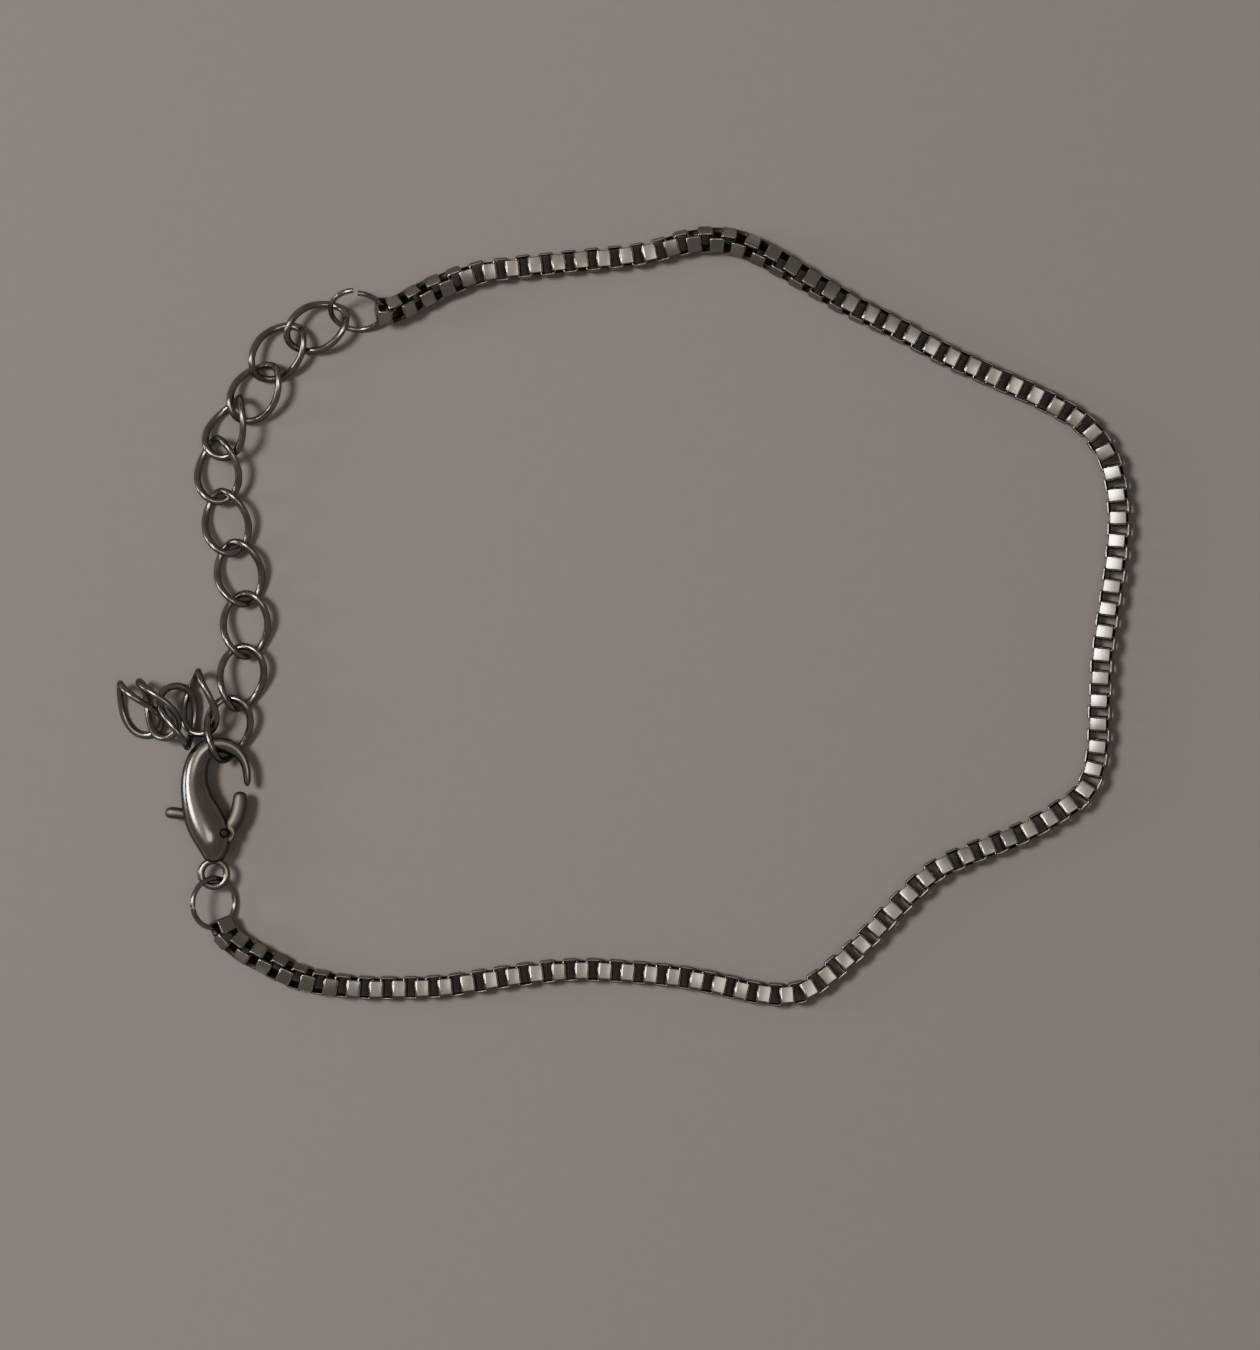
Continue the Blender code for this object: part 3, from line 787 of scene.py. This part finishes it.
def plated_metal(name, colours):
    """Silver-coloured plating with tarnish patches, painted shade on flanks, in crevices and inside the
    box links, and fine rubbing marks.
    """
    shade, roughness, patches, crevice_shade, side_shade, inside_shade = FINISHES[name]
    material = bpy.data.materials.new(name)
    material.use_nodes = True
    tree = material.node_tree
    shader = tree.nodes["Principled BSDF"]
    shader.inputs["Metallic"].default_value = 1.0
    tarnish = put(tree, "ShaderNodeGroup", node_tree=shared_group("Tarnish patches", tarnish_group))
    tarnish.inputs["Cover"].default_value = patches
    # Painted shade in crevices, from ambient occlusion
    crevice_shade_node = put(tree, "ShaderNodeGroup", node_tree=shared_group("Painted crevice shade", crevice_shade_group))
    crevice_shade_node.inputs["Strength"].default_value = crevice_shade
    # Painted shade on surfaces that face sideways or down
    side_shade_node = put(tree, "ShaderNodeGroup", node_tree=shared_group("Painted side shade", side_shade_group))
    side_shade_node.inputs["Strength"].default_value = side_shade
    marks = put(tree, "ShaderNodeGroup", node_tree=shared_group("Rubbing marks", scratch_group))
    silver = [channel * shade for channel in colours.silver]
    film = put(tree, "ShaderNodeMix", data_type="RGBA")
    film.inputs["A"].default_value = (*silver, 1.0)
    film.inputs["B"].default_value = (*[(a + b) / 2 for a, b in zip(silver, colours.tarnish)], 1.0)
    tree.links.new(tarnish.outputs["Mask"], film.inputs["Factor"])
    # Painted shade: the crevice, inside and side masks darken the colour towards the tarnish colour and
    # raise the roughness
    dark = put(tree, "ShaderNodeMix", data_type="RGBA")
    dark.inputs["B"].default_value = (*colours.tarnish, 1.0)
    tree.links.new(film.outputs["Result"], dark.inputs["A"])
    # Painted shade inside the box links, from the mask made with each link
    inner = put(tree, "ShaderNodeAttribute", attribute_name="inside_shade")
    inner_share = put(tree, "ShaderNodeMath", {1: inside_shade}, operation="MULTIPLY")
    either = put(tree, "ShaderNodeMath", operation="MAXIMUM")
    mask = put(tree, "ShaderNodeMath", operation="MAXIMUM", use_clamp=True)
    tree.links.new(inner.outputs["Fac"], inner_share.inputs[0])
    tree.links.new(crevice_shade_node.outputs["Mask"], either.inputs[0])
    tree.links.new(inner_share.outputs[0], either.inputs[1])
    tree.links.new(either.outputs[0], mask.inputs[0])
    tree.links.new(side_shade_node.outputs["Mask"], mask.inputs[1])
    tree.links.new(mask.outputs[0], dark.inputs["Factor"])
    tree.links.new(dark.outputs["Result"], shader.inputs["Base Color"])
    gloss = put(tree, "ShaderNodeMapRange", {"To Min": roughness, "To Max": roughness + 0.2})
    tree.links.new(mask.outputs[0], gloss.inputs["Value"])
    tree.links.new(gloss.outputs["Result"], shader.inputs["Roughness"])
    bump = put(tree, "ShaderNodeBump", {"Strength": 0.15, "Distance": 0.00002})
    tree.links.new(marks.outputs["Height"], bump.inputs["Height"])
    tree.links.new(bump.outputs["Normal"], shader.inputs["Normal"])
    return material


def finish_piece(piece, body, slot, material, *nodes):
    """Gives a piece its material and its body and hides the nodes that it stands for; the slot is not
    used.
    """
    piece.data.materials.clear()
    piece.data.materials.append(material)
    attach(piece, body)
    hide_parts(*nodes)


class BRACELET_OT_box_chain(bpy.types.Operator):
    """Models the box chain's links along its route"""

    bl_idname = "bracelet.box_chain"
    bl_label = "Box Chain"

    def execute(self, context):
        chain = add_box_chain(context.scene.bracelet_chain)
        plating = plated_metal("box_chain_plating", context.scene.bracelet_metal)
        finish_piece(chain, BRACELET_BODY, "box_chain_metal", plating, "box_chain")
        return {"FINISHED"}


class BRACELET_OT_extender(bpy.types.Operator):
    """Models the extender's curb links, with the hooked one and the free tail"""

    bl_idname = "bracelet.extender"
    bl_label = "Extender"

    def execute(self, context):
        plating = plated_metal("extender_plating", context.scene.bracelet_metal)
        for number, row in enumerate(LINK_ROUTE, start=1):
            link = add_curb_link(f"curb_link_{number:02d}", row, context.scene.bracelet_extender)
            node = f"extender_link_{number:02d}"
            finish_piece(link, BRACELET_BODY, "extender_metal", plating, node)
        return {"FINISHED"}


class BRACELET_OT_jump_rings(bpy.types.Operator):
    """Models the two jump rings at the ends of the box chain"""

    bl_idname = "bracelet.jump_rings"
    bl_label = "Jump Rings"

    def execute(self, context):
        sizes = context.scene.bracelet_extender
        plating = plated_metal("jump_ring_plating", context.scene.bracelet_metal)
        upper = add_jump_ring(
            "extender_jump_ring",
            EXTENDER_RING_PLACE,
            sizes.extender_ring,
            sizes.ring_wire,
            math.radians(EXTENDER_RING_CUT_ANGLE),
            sizes.extender_cut,
            sizes.extender_offset,
        )
        finish_piece(upper, BRACELET_BODY, "ring_metal", plating, "extender_ring")
        lower = add_jump_ring(
            "clasp_jump_ring",
            CLASP_RING_PLACE,
            sizes.clasp_ring,
            sizes.ring_wire,
            math.radians(CLASP_RING_CUT_ANGLE),
            sizes.clasp_cut,
            0.0,
        )
        finish_piece(lower, BRACELET_BODY, "ring_metal", plating, "clasp_ring")
        return {"FINISHED"}


class BRACELET_OT_clasp_body(bpy.types.Operator):
    """Models the clasp's cast body with its hook and eye"""

    bl_idname = "bracelet.clasp_body"
    bl_label = "Clasp Body"

    def execute(self, context):
        body = add_clasp_body(context.scene.bracelet_clasp)
        plating = plated_metal("clasp_plating", context.scene.bracelet_metal)
        finish_piece(body, BRACELET_BODY, "clasp_metal", plating, "clasp_body")
        return {"FINISHED"}


class BRACELET_OT_clasp_lever(bpy.types.Operator):
    """Models the clasp's lever with its gate and thumb tab"""

    bl_idname = "bracelet.clasp_lever"
    bl_label = "Clasp Lever"

    def execute(self, context):
        lever = add_clasp_lever(context.scene.bracelet_clasp)
        plating = plated_metal("lever_plating", context.scene.bracelet_metal)
        finish_piece(lever, LEVER_BODY, "lever_metal", plating, "clasp_lever")
        return {"FINISHED"}


class BRACELET_OT_clasp_rivet(bpy.types.Operator):
    """Models the clasp's rivet"""

    bl_idname = "bracelet.clasp_rivet"
    bl_label = "Clasp Rivet"

    def execute(self, context):
        rivet = add_clasp_rivet(context.scene.bracelet_clasp)
        plating = plated_metal("rivet_plating", context.scene.bracelet_metal)
        finish_piece(rivet, BRACELET_BODY, "pin_metal", plating, "clasp_pin")
        return {"FINISHED"}


def floor_material(colour):
    """A pale matt surface with a faint mottle and grain."""
    material = bpy.data.materials.new("pale_floor")
    material.use_nodes = True
    tree = material.node_tree
    shader = tree.nodes["Principled BSDF"]
    shader.inputs["Roughness"].default_value = 0.8
    shader.inputs["Specular IOR Level"].default_value = 0.2
    place = put(tree, "ShaderNodeTexCoord")
    mottle = put(tree, "ShaderNodeTexNoise", {"Scale": 900.0, "Detail": 3.0, "Roughness": 0.6})
    mix = put(tree, "ShaderNodeMix", data_type="RGBA")
    mix.inputs["A"].default_value = (*[channel * 0.97 for channel in colour], 1.0)
    mix.inputs["B"].default_value = (*[channel * 1.03 for channel in colour], 1.0)
    tree.links.new(place.outputs["Object"], mottle.inputs["Vector"])
    tree.links.new(mottle.outputs["Fac"], mix.inputs["Factor"])
    tree.links.new(mix.outputs["Result"], shader.inputs["Base Color"])
    return material


def add_soft_light(name, place, size, power, colour):
    """A square soft light that faces the origin."""
    deselect_all()
    bpy.ops.object.light_add(type="AREA", location=place)
    light = bpy.context.object
    light.name = name
    light.rotation_euler = (-Vector(place)).to_track_quat("-Z", "Y").to_euler()
    light.data.size = size
    light.data.energy = power
    light.data.color = colour


def add_camera(height):
    """Looks straight down, and its frame is 96.9 by 103.8 mm at the chain's height."""
    deselect_all()
    x, y = FRAME_MIDDLE
    bpy.ops.object.camera_add(location=(x, y, height), rotation=(0, 0, 0))
    camera = bpy.context.object
    camera.data.sensor_width = SENSOR
    camera.data.lens = SENSOR * (height - CHAIN_HEIGHT) / FRAME_HEIGHT
    camera.data.clip_start = 0.01
    bpy.context.scene.camera = camera


def add_world():
    """A dim room: a soft ceiling patch above, dark walls, and a pale band at the horizon."""
    world = bpy.data.worlds.new("soft_surround")
    bpy.context.scene.world = world
    world.use_nodes = True
    tree = world.node_tree
    place = put(tree, "ShaderNodeTexCoord")
    split = put(tree, "ShaderNodeSeparateXYZ")
    ramp = put(tree, "ShaderNodeValToRGB")
    for _ in SURROUND[2:]:
        ramp.color_ramp.elements.new(1.0)
    for element, (position, level) in zip(ramp.color_ramp.elements, SURROUND):
        element.position = position
        element.color = (level, level * 0.97, level * 0.93, 1.0)
    tree.links.new(place.outputs["Generated"], split.inputs["Vector"])
    tree.links.new(split.outputs["Z"], ramp.inputs["Fac"])
    tree.links.new(ramp.outputs["Color"], tree.nodes["Background"].inputs["Color"])


def sky_point(heading, off_zenith, distance):
    """A point of the sky, by its compass direction and its angle from straight above."""
    flat = math.sin(math.radians(off_zenith)) * distance
    turn = math.radians(heading)
    return (flat * math.cos(turn), flat * math.sin(turn), math.cos(math.radians(off_zenith)) * distance)


class BRACELET_OT_stage(bpy.types.Operator):
    """Sets up the floor, the soft lights and the camera"""

    bl_idname = "bracelet.stage"
    bl_label = "Stage"

    def execute(self, context):
        settings = context.scene.bracelet_stage
        deselect_all()
        bpy.ops.mesh.primitive_plane_add(size=4.0)
        floor = bpy.context.object
        floor.name = "floor"
        floor.data.materials.append(floor_material(settings.floor))
        for name, (heading, off_zenith, size, power, colour) in LIGHTS.items():
            add_soft_light(name, sky_point(heading, off_zenith, LIGHT_DISTANCE), size, power, colour)
        add_world()
        add_camera(settings.camera_height)
        return {"FINISHED"}


class BRACELET_PT_panel(bpy.types.Panel):
    """Lists the bracelet's pieces and their sizes"""

    bl_label = "Bracelet"
    bl_idname = "BRACELET_PT_panel"
    bl_space_type = "VIEW_3D"
    bl_region_type = "UI"
    bl_category = "Bracelet"

    def draw(self, context):
        for operator in PIECE_OPERATORS:
            self.layout.operator(operator.bl_idname)
        for name, settings in SETTINGS.items():
            box = self.layout.box()
            group = getattr(context.scene, name)
            for key in settings.__annotations__:
                box.prop(group, key)


SETTINGS = {
    "bracelet_chain": BoxChainSettings,
    "bracelet_extender": ExtenderSettings,
    "bracelet_clasp": ClaspSettings,
    "bracelet_metal": MetalSettings,
    "bracelet_stage": StageSettings,
}
PIECE_OPERATORS = [
    BRACELET_OT_box_chain,
    BRACELET_OT_extender,
    BRACELET_OT_jump_rings,
    BRACELET_OT_clasp_body,
    BRACELET_OT_clasp_lever,
    BRACELET_OT_clasp_rivet,
    BRACELET_OT_stage,
]


def register():
    for cls in [*SETTINGS.values(), *PIECE_OPERATORS, BRACELET_PT_panel]:
        bpy.utils.register_class(cls)
    for name, settings in SETTINGS.items():
        setattr(bpy.types.Scene, name, bpy.props.PointerProperty(type=settings))


def unregister():
    for name in SETTINGS:
        delattr(bpy.types.Scene, name)
    for cls in reversed([*SETTINGS.values(), *PIECE_OPERATORS, BRACELET_PT_panel]):
        bpy.utils.unregister_class(cls)


def main():
    register()
    bpy.ops.bracelet.box_chain()
    bpy.ops.bracelet.extender()
    bpy.ops.bracelet.jump_rings()
    bpy.ops.bracelet.clasp_body()
    bpy.ops.bracelet.clasp_lever()
    bpy.ops.bracelet.clasp_rivet()
    bpy.ops.bracelet.stage()


if __name__ == "__main__":
    main()
